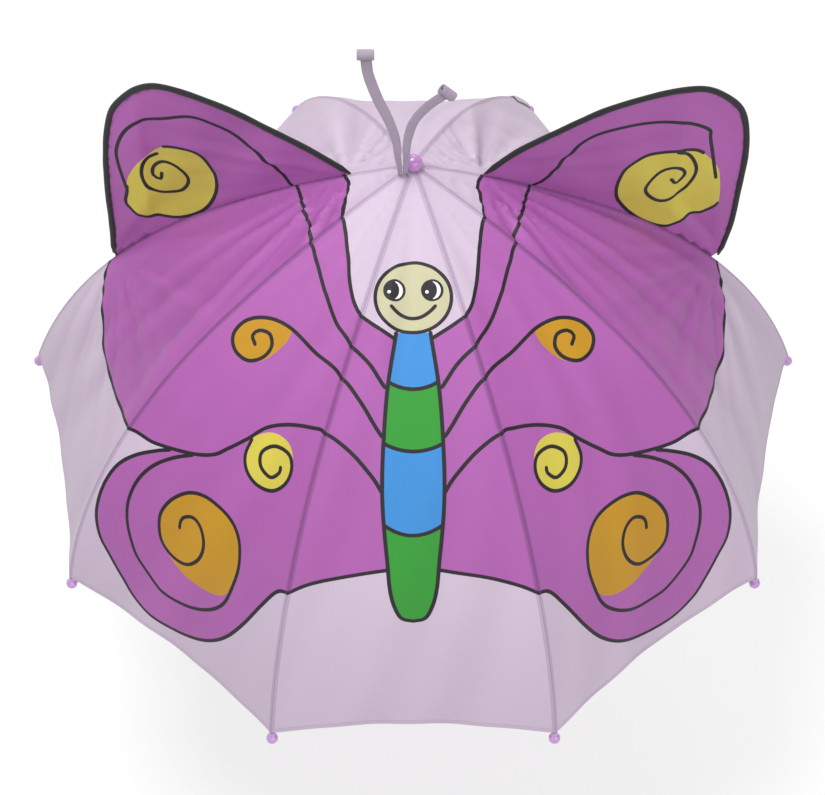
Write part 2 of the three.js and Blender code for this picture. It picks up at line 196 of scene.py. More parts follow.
# The discs inside an eye: ink, shift across, shift down, half width, half height, corners.
EYE_DISCS = [("white", 0.7, 0, 5.3, 6.6, 36), ("ink", -2.2, 0, 5.6, 7.2, 36),
             ("white", -3.8, 1.2, 1.3, 1.3, 12)]
SMILE = {"s": 111, "width": 15.5, "drop": 9.5}
LINE_WIDTH = 2.9
HEAD_LINE = 2.6
SMILE_LINE = 2.7


def smooth(points, closed=False, step=2.6, polar=True):
    """A curve through the points, with a point about every step millimetres. Polar ones are (way, s)."""
    p = np.array(points, float)
    ends = (p[-1:], p[:2]) if closed else ([2 * p[0] - p[1]], [2 * p[-1] - p[-2]])
    p = np.concatenate([ends[0], p, ends[1]])
    curve = []
    for a, b, c, d in zip(p, p[1:], p[2:], p[3:]):
        across = c[0] - b[0]
        if polar:
            across = np.radians(across) * np.interp((b[1] + c[1]) / 2, ARC, LINES[0][0])
        n = max(1, round(math.hypot(across, c[1] - b[1]) / step))
        t = (np.arange(n) / n)[:, None]
        curve.append(0.5 * (2 * b + (c - a) * t + (2 * a - 5 * b + 4 * c - d) * t**2
                            + (3 * b - a - 3 * c + d) * t**3))
    return np.concatenate(curve if closed else curve + [p[-2:-1]])


def mirrored(points):
    return np.array(points, float) * [-1, 1]


def front_way(x, s):
    """The direction of a point x beside the front gore's middle line."""
    return way_of(COUNT - 1, x, s)


def disc(x, s, half_width, half_height, n=40):
    """An oval on the front gore."""
    a = 2 * np.pi * np.arange(n) / n
    down = s + half_height * np.sin(a)
    return np.stack([front_way(x + half_width * np.cos(a), down), down], -1)


def arch(s, width, drop, n=15):
    """A short curve on the front gore's middle line, drop millimetres lower at its middle."""
    t = np.linspace(-1, 1, n)
    down = s + drop * (1 - t * t)
    return np.stack([front_way(width * t, down), down], -1)


def band(top, bottom):
    """The part of the body between two of its bands."""
    s = np.linspace(-1, 1, 9)
    side = smooth(BODY_SIDE)
    width = lambda at: np.interp(at, side[:, 1], side[:, 0])
    upper = np.stack([width(top[0]) * s, top[1] + (top[0] - top[1]) * s * s], -1)
    lower = np.stack([width(bottom[0]) * s, bottom[1] + (bottom[0] - bottom[1]) * s * s], -1)
    right = side[(side[:, 1] > top[0]) & (side[:, 1] < bottom[0])]
    return np.concatenate([upper, right, lower[::-1], mirrored(right)[::-1]])


# Each item of the print, from the lowest layer up: its ink, its curve, and a line's width (0 fills it).
PRINT = []


def both_sides(ink, curve, width=0.0):
    PRINT.append((ink, curve, width))
    PRINT.append((ink, mirrored(curve), width))


along_rib = np.arange(UPPER_EDGE[0][1] - 3, WING_INNER[0][1], -4)
upper = np.concatenate([smooth(WING_INNER), [(0, 135), (0, 251)], smooth(UPPER_EDGE)[::-1],
                        np.stack([0 * along_rib + WING_INNER[0][0], along_rib], -1)])
lower = np.concatenate([smooth(LOWER_WING), [(0, 309), (0, 212)], smooth(UPPER_EDGE[8:17])[::-1]])
both_sides("purple", upper)
both_sides("purple", lower)
both_sides("orange", smooth(TENDRIL_FILL, True))
both_sides("yellow", smooth(SMALL_FILL, True))
both_sides("orange", smooth(BIG_FILL, True))
for route in (WING_INNER, UPPER_EDGE, FIN_LINE, TENDRIL, SMALL_SPIRAL, LOWER_WING, BIG_SPIRAL):
    both_sides("ink", smooth(route), LINE_WIDTH)
band_edges = [(BODY_ENDS[0],) * 2, *BODY_BANDS, (BODY_ENDS[1],) * 2]
for n, ink in enumerate(("blue", "green", "blue", "green")):
    PRINT.append((ink, band(band_edges[n], band_edges[n + 1]), 0.0))
body_side = smooth(BODY_SIDE)
both_sides("ink", body_side, LINE_WIDTH)
for edge, middle in BODY_BANDS:
    t = np.linspace(-1, 1, 17)
    half = np.interp(edge, body_side[:, 1], body_side[:, 0])
    PRINT.append(("ink", np.stack([half * t, middle + (edge - middle) * t * t], -1), LINE_WIDTH))
head = disc(0, *HEAD, n=64)
PRINT.append(("cream", head, 0.0))
PRINT.append(("ink", np.concatenate([head, head[:1]]), HEAD_LINE))
for side in (-1, 1):
    x = side * EYE["x"]
    PRINT.append(("ink", disc(x, EYE["s"], EYE["r"], EYE["r"] * 1.05), 0.0))
    for ink, across, down, half_width, half_height, n in EYE_DISCS:
        PRINT.append((ink, disc(x + across, EYE["s"] + down, half_width, half_height, n), 0.0))
PRINT.append(("ink", arch(SMILE["s"], SMILE["width"], SMILE["drop"]), SMILE_LINE))

INKS = ["lilac", "purple", "ink", "yellow", "orange", "blue", "green", "cream", "white"]


# ---- sheets cut along the print ----

SPACING = 5.0             # of the free mesh points
ROW_STEP = 3.2            # of the mesh points in an added row
ROW_HEIGHT = 0.87         # a mesh row's height over its spacing, for even triangles
CLEAR_OF_LINES = 1.2      # no free mesh point lies nearer to a line of the print


def inside(points, polygon):
    """Which points lie in the polygon."""
    result = np.zeros(len(points), bool)
    x, y = points[:, 0], points[:, 1]
    for (ax, ay), (bx, by) in zip(polygon, np.roll(polygon, -1, 0)):
        if ay == by:
            continue
        crosses = (ay > y) != (by > y)
        result ^= crosses & (x < (bx - ax) * (y - ay) / (by - ay) + ax)
    return result


def distance(points, starts, ends):
    """Each point's distance from the nearest of the segments."""
    best = np.full(len(points), 1e9)
    for a, b in zip(starts, ends):
        d = b - a
        t = np.clip(((points - a) @ d) / max(d @ d, 1e-12), 0, 1)
        best = np.minimum(best, np.hypot(*(points - a - t[:, None] * d).T))
    return best


def stroke(line, half):
    """The outline of a line drawn with a round pen."""
    along = np.gradient(line, axis=0)
    along /= np.linalg.norm(along, axis=1)[:, None] + 1e-9
    side = np.stack([-along[:, 1], along[:, 0]], -1) * half
    caps = []
    for end, forward, turn in ((line[-1], along[-1], side[-1]), (line[0], -along[0], -side[0])):
        for a in (45, 90, 135):
            c, s = math.cos(math.radians(a)), math.sin(math.radians(a))
            caps.append(end + turn * c + forward * half * s)
    return np.concatenate([line + side, caps[:3], (line - side)[::-1], caps[3:]])


def sheet_mesh(outline, marks, cuts, rows):
    """Triangles over an outline, split along the print and along the cuts: (points, triangles, inks)."""
    loops = [outline]
    low, high = outline.min(0) - 4, outline.max(0) + 4
    for ink, curve, width in marks:
        near = np.all((curve > low) & (curve < high), axis=1)
        if not near.any() or (ink == "purple" and not width):
            continue
        if width:
            runs = np.split(np.arange(len(curve)), np.flatnonzero(np.diff(near.astype(int))) + 1)
            for run in runs:
                if near[run[0]] and len(run) > 2:
                    loops.append(stroke(curve[run], width / 2))
        else:
            loops.append(curve)
    starts, ends, points, edges = [], [], [], []
    for loop in loops + list(cuts):
        first, n = sum(map(len, points)), len(loop)
        closed = any(loop is l for l in loops)
        points.append(loop)
        edges += [(first + i, first + (i + 1) % n) for i in range(n if closed else n - 1)]
        starts.append(loop if closed else loop[:-1])
        ends.append(np.roll(loop, -1, 0) if closed else loop[1:])
    starts, ends = np.concatenate(starts), np.concatenate(ends)
    a, b = outline.min(0), outline.max(0)
    grid = []
    for n, y in enumerate(np.arange(a[1], b[1], SPACING * ROW_HEIGHT)):
        x = np.arange(a[0] + (n % 2) * SPACING / 2, b[0], SPACING)
        grid.append(np.stack([x, np.full(len(x), y)], -1))
    grid = np.concatenate(grid + list(rows))
    grid = grid[inside(grid, outline)]
    grid = grid[distance(grid, starts, ends) > CLEAR_OF_LINES]
    everything = np.concatenate(points + [grid])
    made = delaunay_2d_cdt([Vector(p) for p in everything], edges, [], 1, 1e-4)
    flat = np.array([v[:] for v in made[0]], float)
    triangles = np.array([f for f in made[2] if len(f) == 3])
    centre = flat[triangles].mean(1)
    keep = inside(centre, outline)
    triangles, centre = triangles[keep], centre[keep]
    ink_of = np.zeros(len(triangles), int)
    for ink, curve, width in marks:
        box = np.all((centre > curve.min(0) - 3) & (centre < curve.max(0) + 3), axis=1)
        if not box.any():
            continue
        if width:
            hit = distance(centre[box], curve[:-1], curve[1:]) < width / 2
        else:
            hit = inside(centre[box], curve)
        ink_of[np.flatnonzero(box)[hit]] = INKS.index(ink)
    return flat, triangles, ink_of


def vertex_normals(points, triangles):
    a, b, c = (points[triangles[:, i]] for i in range(3))
    faces = np.cross(b - a, c - a)
    normals = np.zeros_like(points)
    for i in range(3):
        np.add.at(normals, triangles[:, i], faces)
    return normals / (np.linalg.norm(normals, axis=1)[:, None] + 1e-12)


class Cloth:
    """Mesh data gathered for one piece, in millimetres from the apex."""

    def __init__(self):
        self.points, self.faces, self.inks, self.flat, self.normals, self.marks = [], [], [], [], [], []
        self.count = 0

    def add(self, points, faces, inks, flat, normals, marks):
        used, index = np.unique(faces, return_inverse=True)
        self.faces.append(index.reshape(faces.shape) + self.count)
        self.inks.append(inks)
        for kept, given in ((self.points, points), (self.flat, flat), (self.normals, normals),
                            (self.marks, marks)):
            kept.append(given[used])
        self.count += len(used)

    def build(self, name, materials):
        points = np.concatenate(self.points) * MM + [0, 0, APEX * MM]
        faces = np.concatenate(self.faces)
        mesh = bpy.data.meshes.new(name)
        mesh.from_pydata(points.tolist(), [], faces.tolist())
        for material in materials:
            mesh.materials.append(material)
        mesh.polygons.foreach_set("material_index", np.concatenate(self.inks).astype(np.int32))
        flat = np.concatenate(self.flat) * MM
        uv = mesh.uv_layers.new(name="cloth")
        uv.data.foreach_set("uv", flat[faces.ravel()].astype(np.float32).ravel())
        marks = np.concatenate(self.marks) * MM
        for n, key in enumerate(("seam", "hem", "fold")):
            layer = mesh.attributes.new(key, "FLOAT", "POINT")
            layer.data.foreach_set("value", marks[:, n].astype(np.float32))
        mesh.shade_smooth()
        mesh.normals_split_custom_set_from_vertices(np.concatenate(self.normals).tolist())
        obj = bpy.data.objects.new(name, mesh)
        bpy.context.scene.collection.objects.link(obj)
        return obj


# ---- materials ----

def linear(r, g, b):
    """A linear colour from screen levels."""
    return tuple(c / 255 / 12.92 if c < 10 else ((c / 255 + 0.055) / 1.055) ** 2.4 for c in (r, g, b)) + (1,)


def darkened(color, share):
    return tuple(c * share for c in color[:3]) + (1,)


class Shading:
    """A material whose nodes are added one by one and end in one Principled shader."""

    def __init__(self, name, **constants):
        self.material = bpy.data.materials.new(name)
        self.material.use_nodes = True
        self.tree = self.material.node_tree
        self.shader = self.tree.nodes["Principled BSDF"]
        for key, value in constants.items():
            self.shader.inputs[key.replace("_", " ")].default_value = value

    def node(self, kind, links=(), **settings):
        made = self.tree.nodes.new("ShaderNode" + kind)
        for key, value in settings.items():
            if hasattr(made, key):
                setattr(made, key, value)
            else:
                made.inputs[key.replace("_", " ")].default_value = value
        for socket, source in dict(links).items():
            self.tree.links.new(source, made.inputs[socket])
        return made

    def math(self, operation, a, b=0.0, c=0.0):
        made = self.node("Math", operation=operation)
        for socket, value in zip(made.inputs, (a, b, c)):
            if isinstance(value, (int, float)):
                socket.default_value = value
            else:
                self.tree.links.new(value, socket)
        return made.outputs[0]

    def fade(self, value, low, high):
        """1 where value is under low, 0 above high."""
        made = self.node("MapRange", {0: value}, interpolation_type="SMOOTHSTEP")
        for n, number in ((1, low), (2, high), (3, 1.0), (4, 0.0)):
            made.inputs[n].default_value = number
        return made.outputs[0]

    def tint(self, share, a, b, blend="MIX"):
        made = self.node("Mix", data_type="RGBA", blend_type=blend)
        for socket, value in ((made.inputs[0], share), (made.inputs[6], a), (made.inputs[7], b)):
            if isinstance(value, (tuple, float, int)):
                socket.default_value = value
            else:
                self.tree.links.new(value, socket)
        return made.outputs[2]

    def finish(self, color=None, roughness=None, height=None, strength=0.5, distance=0.0003):
        for key, source in (("Base Color", color), ("Roughness", roughness)):
            if source is not None:
                self.tree.links.new(source, self.shader.inputs[key])
        if height is not None:
            bump = self.node("Bump", {"Height": height}, Strength=strength, Distance=distance)
            self.tree.links.new(bump.outputs[0], self.shader.inputs["Normal"])
        return self.material


# Metres, as the shaders measure.
WEAVE = 0.0006         # from thread to thread
STITCH = 0.0028        # from stitch to stitch
SEAM_WIDTH = 0.0026    # the doubled cloth beside a rib
HEM_WIDTH = 0.0045
FOLD_SHADE_DEPTH = 0.0035    # cloth this far below its even shape gets the darkest painted shade
CLEAR_OF_SEAMS = 0.02  # a distance from seam and hem at which cloth shows neither
WAVE_SCALE = 0.314     # the wave texture's scale times its wavelength


def cloth(name, color, roughness=0.62, doubled_shade=0.80, variation=0.05, sheen=0.06):
    """Woven cloth, doubled and stitched beside its seams and its hem, with painted shade in its fold valleys,
    along the seam creases and over the doubled cloth.
    """
    m = Shading(name, Roughness=roughness, Sheen_Weight=sheen, Sheen_Roughness=0.45)
    uv = m.node("UVMap", uv_map="cloth").outputs[0]
    place = m.node("TexCoord").outputs["Object"]
    threads = [m.node("TexWave", {"Vector": uv}, bands_direction=d, Scale=WAVE_SCALE / WEAVE).outputs[1]
               for d in "XY"]
    weave = m.math("MULTIPLY", threads[0], threads[1])
    cloud = m.node("TexNoise", {"Vector": place}, Scale=14.0, Detail=3.0).outputs[0]
    stretched = m.node("Mapping", {"Vector": uv}, Scale=(900, 60, 1)).outputs[0]
    slub = m.node("TexNoise", {"Vector": stretched}, Scale=1.0, Detail=2.0).outputs[0]
    crumple = m.node("TexNoise", {"Vector": place}, Scale=55.0, Detail=4.0, Roughness=0.55).outputs[0]
    seam = m.node("Attribute", attribute_name="seam").outputs["Fac"]
    hem = m.node("Attribute", attribute_name="hem").outputs["Fac"]
    along = m.node("SeparateXYZ", {"Vector": uv})
    doubled = m.fade(seam, SEAM_WIDTH * 0.8, SEAM_WIDTH)
    hemmed = m.fade(hem, HEM_WIDTH * 0.93, HEM_WIDTH)
    stitched = []
    for away, run in ((m.math("SUBTRACT", seam, SEAM_WIDTH * 0.72), along.outputs[1]),
                      (m.math("SUBTRACT", hem, HEM_WIDTH * 0.85), along.outputs[0])):
        near = m.fade(m.math("ABSOLUTE", away), 0.00015, 0.0004)
        dash = m.math("LESS_THAN", m.math("FRACT", m.math("DIVIDE", run, STITCH)), 0.62)
        stitched.append(m.math("MULTIPLY", near, dash))
    stitches = m.math("MAXIMUM", *stitched)
    dark = darkened(color, 1 - variation)
    light = tuple(min(1, c * (1 + variation)) for c in color[:3]) + (1,)
    base = m.tint(cloud, dark, light)
    base = m.tint(m.math("MULTIPLY", slub, 0.12), base, (0.9, 0.9, 0.9, 1), "MULTIPLY")
    # Painted shade: cloth lying below its even shape, in the valley of a fold, is darkened.
    painted_fold_shade = m.fade(m.node("Attribute", attribute_name="fold").outputs["Fac"], -FOLD_SHADE_DEPTH, FOLD_SHADE_DEPTH * 0.7)
    base = m.tint(m.math("MULTIPLY", painted_fold_shade, 0.55), base,
                  m.tint(1.0, base, (0.70, 0.62, 0.72, 1), "MULTIPLY"))
    # The doubled cloth beside the seams, and more faintly the hem, is darkened: painted shade for the light
    # that two layers hold back.
    shade = m.math("MAXIMUM", doubled, m.math("MULTIPLY", hemmed, 0.45))
    base = m.tint(shade, base, m.tint(1.0, base, (doubled_shade, doubled_shade * 0.95, doubled_shade * 1.03, 1), "MULTIPLY"))
    # Painted shade in the crease right along each seam.
    painted_seam_crease = m.math("MULTIPLY", m.fade(seam, 0.0002, 0.0008), 0.45)
    base = m.tint(painted_seam_crease, base, m.tint(1.0, base, (0.45, 0.4, 0.5, 1), "MULTIPLY"))
    base = m.tint(m.math("MULTIPLY", stitches, 0.3), base, (0.25, 0.16, 0.3, 1))
    height = m.math("MULTIPLY_ADD", weave, 0.10, m.math("MULTIPLY", crumple, 0.9))
    height = m.math("ADD", height, m.math("MULTIPLY", m.math("MAXIMUM", doubled, hemmed), 0.5))
    height = m.math("SUBTRACT", height, m.math("MULTIPLY", stitches, 0.35))
    rough = m.math("MULTIPLY_ADD", slub, 0.12, roughness - 0.06)
    return m.finish(base, rough, height, 0.55, 0.0005)


def moulded(name, color, roughness, coat=0.0, grain=220.0):
    """Moulded plastic with a fine grain, faint flow marks and handling scuffs."""
    m = Shading(name, Coat_Weight=coat, Coat_Roughness=0.12)
    place = m.node("TexCoord").outputs["Object"]
    flow = m.node("TexNoise", {"Vector": place}, Scale=30.0, Detail=3.0).outputs[0]
    fine = m.node("TexNoise", {"Vector": place}, Scale=grain * 8, Detail=2.0).outputs[0]
    stretched = m.node("Mapping", {"Vector": place}, Scale=(1, 1, 0.2)).outputs[0]
    scuff = m.node("TexVoronoi", {"Vector": stretched}, Scale=grain, feature="DISTANCE_TO_EDGE").outputs[0]
    marks = m.fade(scuff, 0.004, 0.03)
    base = m.tint(flow, darkened(color, 0.9), color)
    base = m.tint(m.math("MULTIPLY", marks, 0.10), base, (0.85, 0.8, 0.85, 1))
    rough = m.math("MULTIPLY_ADD", flow, 0.16, m.math("MULTIPLY_ADD", marks, 0.10, roughness - 0.08))
    return m.finish(base, rough, m.math("ADD", fine, marks), 0.25, 0.00008)


def drawn_steel(name, color=(0.60, 0.61, 0.64, 1), roughness=0.3):
    """Plated wire and tube, with drawing lines along it and dull spots."""
    m = Shading(name, Metallic=1.0)
    place = m.node("TexCoord").outputs["Object"]
    stretched = m.node("Mapping", {"Vector": place}, Scale=(900, 900, 25)).outputs[0]
    lines = m.node("TexNoise", {"Vector": stretched}, Scale=1.0, Detail=3.0).outputs[0]
    spots = m.node("TexNoise", {"Vector": place}, Scale=70.0, Detail=5.0, Roughness=0.65).outputs[0]
    base = m.tint(spots, darkened(color, 0.82), color)
    rough = m.math("MULTIPLY_ADD", spots, 0.25, m.math("MULTIPLY_ADD", lines, 0.12, roughness - 0.15))
    return m.finish(base, rough, lines, 0.2, 0.00005)


FABRIC_INKS = {
    "lilac": cloth("lilac_cloth", linear(200, 183, 202), doubled_shade=0.84, variation=0.03),
    "purple": cloth("purple_print", linear(167, 89, 165), doubled_shade=0.70, variation=0.07),
    "ink": cloth("line_print", linear(22, 13, 24), doubled_shade=0.9, sheen=0.0),
    "yellow": cloth("yellow_print", linear(204, 191, 70)),
    "orange": cloth("orange_print", linear(188, 138, 3)),
    "blue": cloth("blue_print", linear(50, 136, 205)),
    "green": cloth("green_print", linear(38, 147, 38)),
    "cream": cloth("cream_print", linear(192, 190, 153)),
    "white": cloth("white_print", linear(240, 240, 240)),
}
CLOTHS = [FABRIC_INKS[ink] for ink in INKS]


# ---- canopy ----

def ripple(t, seed):
    """An uneven wave, from -1 to 1."""
    return sum(np.sin(t * pace + seed * turn) for pace, turn in ((1, 1.7), (1.73, 4.1), (2.61, 2.9))) / 3


def creased(t, seed):
    """An uneven wave with sharp ridges, from about -1 to 1."""
    ridges = 1 - 2 * np.abs(np.sin(t * 0.62 + seed)) ** 0.8
    return 0.62 * ripple(t, seed) + 0.38 * ridges * (0.6 + 0.4 * np.sin(t * 0.37 + seed))


def fan(x, s, corner_x, corner_s, folds, reach, seed):
    """Tension folds that spread from a corner."""
    dx, ds = x - corner_x, s - corner_s
    away = np.hypot(dx, ds)
    angle = np.arctan2(ds, np.abs(dx) + 1e-6)
    shape = np.clip(away / 45, 0, 1) * np.exp(-(away / reach) ** 2)
    return shape * creased(angle * folds, seed)


def wrinkles(k, x, s):
    """How far gore k's cloth stands off its even shape."""
    half = chord(k, s) / 2
    seam = half - np.abs(x)
    share = x / half
    # Gathers round the cap, a loose billow further out, and a lift along the gore's middle line.
    out = 3.4 * np.exp(-s / 95) * np.clip(s / 25, 0, 1) * creased(share * 7, k + 1)
    out += 1.1 * ripple(share * 5 + s / 70, k + 3) * np.clip(s / 150, 0, 1)
    out += 0.8 * np.exp(-np.abs(x) / 5) * np.exp(-((s - 90) / 70) ** 2)
    for side, rib in ((-1, k), (1, (k + 1) % COUNT)):
        if rib in WING_RIBS.values():
            edge = side * half
            out += 7.0 * fan(x, s, edge, WING_FOOT[0], 21, 250, rib + side)
            out += 3.4 * fan(x, s, edge, WING_FOOT[1], 13, 140, rib + 2 * side)
    out *= 1 - np.exp(-seam / 9)
    # Puckers of the thread, close beside the seam.
    puckers = 0.5 + 0.5 * np.sin(s * 2 * np.pi / 9.5 + 2 * np.sin(s / 31 + k))
    out -= 0.45 * puckers * np.exp(-seam / 5) * (1 - np.exp(-seam / 1.5))
    return out


def gore_outline(k):
    """Gore k laid flat: up its left seam, along its hem and back up its right seam."""
    side = np.concatenate([np.linspace(INNER_S, JOINT_S, 47), np.linspace(JOINT_S, HEM_S, 67)[1:]])
    half = chord(k, side) / 2
    hem = np.linspace(-1, 1, 61)[1:-1] * chord(k, HEM_S) / 2
    left, right = np.stack([-half, side], -1), np.stack([half, side], -1)
    return np.concatenate([left, np.stack([hem, hem_at(k, hem)], -1), right[::-1]])


def cut_gore(k):
    """Gore k's mesh, with its print, as arrays."""
    outline = gore_outline(k)
    middle = np.arange(INNER_S, float(hem_at(k, 0.0)), 4.0)
    elbow_half = float(chord(k, JOINT_S)) / 2
    elbow = np.arange(-elbow_half, elbow_half, 4.0)
    cuts = [np.stack([0 * middle, middle], -1), np.stack([elbow, 0 * elbow + JOINT_S], -1)]
    cuts[0] = np.concatenate([cuts[0], [[0, float(hem_at(k, 0.0))]]])
    cuts[1] = np.concatenate([cuts[1], [[elbow_half, JOINT_S]]])
    rows = []
    for inset in (1.8, 4.0):
        s = np.arange(60, HEM_S - 3, ROW_STEP)
        half = chord(k, s) / 2 - inset
        rows += [np.stack([-half, s], -1), np.stack([half, s], -1)]
    marks = [(ink, np.stack([x_of(k, curve[:, 0], curve[:, 1]), curve[:, 1]], -1), width)
             for ink, curve, width in PRINT]
    flat, triangles, inks = sheet_mesh(outline, marks, cuts, rows)
    x, s = flat.T
    fold = wrinkles(k, x, s)
    points = gore_point(k, x, s, fold)
    normals = vertex_normals(points, triangles)
    if normals[:, 2].mean() < 0:
        triangles, normals = triangles[:, ::-1], -normals
    marks = np.stack([chord(k, s) / 2 - np.abs(x), hem_at(k, x) - s, fold], -1)
    return points, triangles, inks, flat, normals, marks


canopy = {}
for k in range(COUNT):
    points, triangles, inks, flat, normals, marks = cut_gore(k)
    centre = flat[triangles].mean(1)
    for right in (False, True):
        for outer in (False, True):
            part = ((centre[:, 0] > 0) == right) & ((centre[:, 1] > JOINT_S) == outer)
            piece = canopy.setdefault(((k + right) % COUNT, outer), Cloth())
            piece.add(points, triangles[part], inks[part], flat, normals, marks)

for (i, outer), piece in canopy.items():
    length = "outer" if outer else "inner"
    obj = piece.build(f"canopy_{length}_{i + 1}", CLOTHS)
    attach(obj, f"rib_{length}_{i + 1}")
    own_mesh(obj)
    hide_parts(f"canopy_panel_{i + 1}")

# ---- wings ----

# The upright wings are called fins here, to keep them apart from the printed ones. Points of a fin and
# its print lie in the plane of its rib: distance from the axis, height over the apex.
FIN_EDGES = {
    "left": [(46, -17), (76, 0), (104, 13), (138, 28), (182, 39), (206, 33), (226, 12), (234, -10),
             (239, -40), (242, -80), (243, -120), (245, -148)],
    "right": [(52, -19), (76, -2), (105, 11), (141, 25), (178, 32), (203, 33), (224, 28), (246, 9),
              (255, -12), (259, -43), (258, -83), (256, -120), (250, -152)],
}
BINDING = 2.5          # half the binding's width
BINDING_THICK = 1.7    # half its thickness
FIN_LINES = {
    "left": [(223, -72), (227, -44), (226, -29), (218, -11), (205, 1), (187, 6), (165, 12), (147, 6),
             (129, -3), (113, -16), (100, -29), (94, -39), (89, -42)],
    "right": [(235, -63), (227, -24), (225, -14), (209, -3), (190, 3), (167, 4), (142, 3), (128, -3),
              (114, -17), (100, -34), (89, -42)],
}
FIN_PATCHES = {
    "left": [(190, -23), (173, -22), (162, -28), (152, -45), (153, -64), (164, -83), (183, -95), (201, -97),
             (212, -100), (225, -89), (223, -74), (221, -60), (212, -43), (203, -34)],
    "right": [(239, -90), (229, -98), (220, -100), (201, -108), (180, -97), (163, -78), (156, -61),
              (160, -41), (174, -30), (190, -28), (204, -29), (218, -32), (228, -42), (236, -54),
              (239, -68), (240, -80)],
}
FIN_SPIRALS = {
    "left": [(196, -32), (206, -40), (209, -53.7), (206, -66), (199, -71), (190.5, -71.3),
             (179.5, -67), (174, -55), (181.4, -42), (192, -39), (200, -46), (201, -55), (195.5, -57.5),
             (194, -51)],
    "right": [(202, -30), (212, -36), (218.5, -52), (213, -68), (202, -78), (189, -76), (179, -63),
              (188, -50), (201, -46), (210, -54), (204, -63), (199.5, -58)],
}
FIN_CORNERS = {"outer": (249, -152), "inner": (49, -18)}    # the folds spread from these
PLEAT_R = 205          # where the upright pleat lies
FIN_THICK = 0.6        # half the doubled cloth's thickness
PATCH_OUTLINED = 0.78  # the share of a patch's outline that is drawn in ink


def fin_edge(side):
    """A wing's bound edge: points and the directions into the wing."""
    line = smooth(FIN_EDGES[side], polar=False, step=4)
    along = np.gradient(line, axis=0)
    along /= np.linalg.norm(along, axis=1)[:, None]
    return line, np.stack([along[:, 1], -along[:, 0]], -1)


def in_rib_plane(i, r, side, z):
    """A point r out from the axis along rib i, side across it and z up."""
    way = math.radians(RIBS[i][0])
    x = r * math.sin(way) + side * math.cos(way)
    y = -r * math.cos(way) + side * math.sin(way)
    return np.stack([x, y, z], -1)


def fin_bend(r, z, base, edge, side):
    """How far a fin's cloth leaves its plane: folds from two corners and a pleat, none at its edges."""
    outer_r, outer_z = FIN_CORNERS["outer"]
    inner_r, inner_z = FIN_CORNERS["inner"]
    slack = 2.4 * ripple(r / 24 + z / 60, 3 if side == "left" else 7)
    away = np.hypot(r - outer_r, z - outer_z)
    slack += 4.6 * np.exp(-(away / 95) ** 2) * creased(np.arctan2(z - outer_z, outer_r - r) * 10, 2)
    away = np.hypot(r - inner_r, z - inner_z)
    slack += 3.4 * np.exp(-(away / 130) ** 2) * creased(np.arctan2(z - inner_z, r - inner_r) * 15, 5)
    fold = (r - PLEAT_R) / 1.3
    pleat = 4.6 * np.exp(-((z + 45) / 55) ** 2) * (1 / (1 + np.exp(-fold)) - np.clip((r - 150) / 110, 0, 1))
    slack += pleat if side == "left" else 0.45 * pleat
    return slack * (1 - np.exp(-base / 10)) * (1 - np.exp(-edge / 8))


def make_wing(side, i):
    """Two layers of cloth that meet along the rib and under the binding."""
    edge, inwards = fin_edge(side)
    rim = (edge + inwards * BINDING)[1:-1]
    s = np.linspace(WING_FOOT[1], WING_FOOT[0], 60)
    r, z, _ = (np.interp(s, ARC, column) for column in LINES[i])
    base = np.stack([r, z - 0.8], -1)
    outline = np.concatenate([rim, base])
    patch = smooth(FIN_PATCHES[side], True, polar=False)
    purple = np.array([[0, -400], [400, -400], [400, 200], [0, 200.0]])
    marks = [("purple", purple, 0.0), ("yellow", patch, 0.0),
             ("ink", smooth(FIN_LINES[side], polar=False), LINE_WIDTH),
             ("ink", patch[:int(len(patch) * PATCH_OUTLINED)], LINE_WIDTH),
             ("ink", smooth(FIN_SPIRALS[side], polar=False), LINE_WIDTH)]
    height = np.arange(-105, 12, ROW_STEP)
    rows = [np.stack([0 * height + PLEAT_R + step, height], -1) for step in (-3.2, -1.4, 0, 1.4, 3.2)]
    rows.append(base[2:-2] + [0, 1.6])
    flat, triangles, inks = sheet_mesh(outline, marks, [], rows)
    inks[inks == 0] = INKS.index("purple")
    to_base = distance(flat, base[:-1], base[1:])
    to_rim = distance(flat, rim[:-1], rim[1:])
    to_edge = np.minimum(to_base, to_rim)
    bend = fin_bend(flat[:, 0], flat[:, 1], to_base, to_rim, side)
    thick = FIN_THICK * (1 - np.exp(-to_edge / 3))
    n = len(flat)
    layers = [in_rib_plane(i, flat[:, 0], bend + sign * thick, flat[:, 1]) for sign in (1, -1)]
    other = np.where(to_edge < 0.05, np.arange(n), np.arange(n) + n)
    points = np.concatenate(layers)
    faces = np.concatenate([triangles, other[triangles][:, ::-1]])
    normals = vertex_normals(points, faces)
    outward = in_rib_plane(i, np.zeros(1), np.ones(1), np.zeros(1))[0]
    if (normals[:n] @ outward).mean() < 0:
        faces, normals = faces[:, ::-1], -normals
    wing = Cloth()
    wing.add(points, faces, np.tile(inks, 2), np.tile(flat, (2, 1)), normals,
             np.tile(np.stack([to_base + 3, to_rim + 2, bend], -1), (2, 1)))
    return wing.build(f"wing_cloth_{side}", CLOTHS)


def skinned(rings):
    """A closed skin over (n, m, 3) rings: its points and faces."""
    n, m = rings.shape[:2]
    faces = [(a * m + b, a * m + (b + 1) % m, (a + 1) * m + (b + 1) % m, (a + 1) * m + b)
             for a in range(n - 1) for b in range(m)]
    faces += [tuple(range(m))[::-1], tuple((n - 1) * m + b for b in range(m))]
    return rings.reshape(-1, 3), faces


def sweep(path, across, up, section):
    """A closed skin along a path: across and up give the section's directions, section its points."""
    return skinned(path[:, None] + across[:, None] * section[..., :1] + up[:, None] * section[..., 1:])


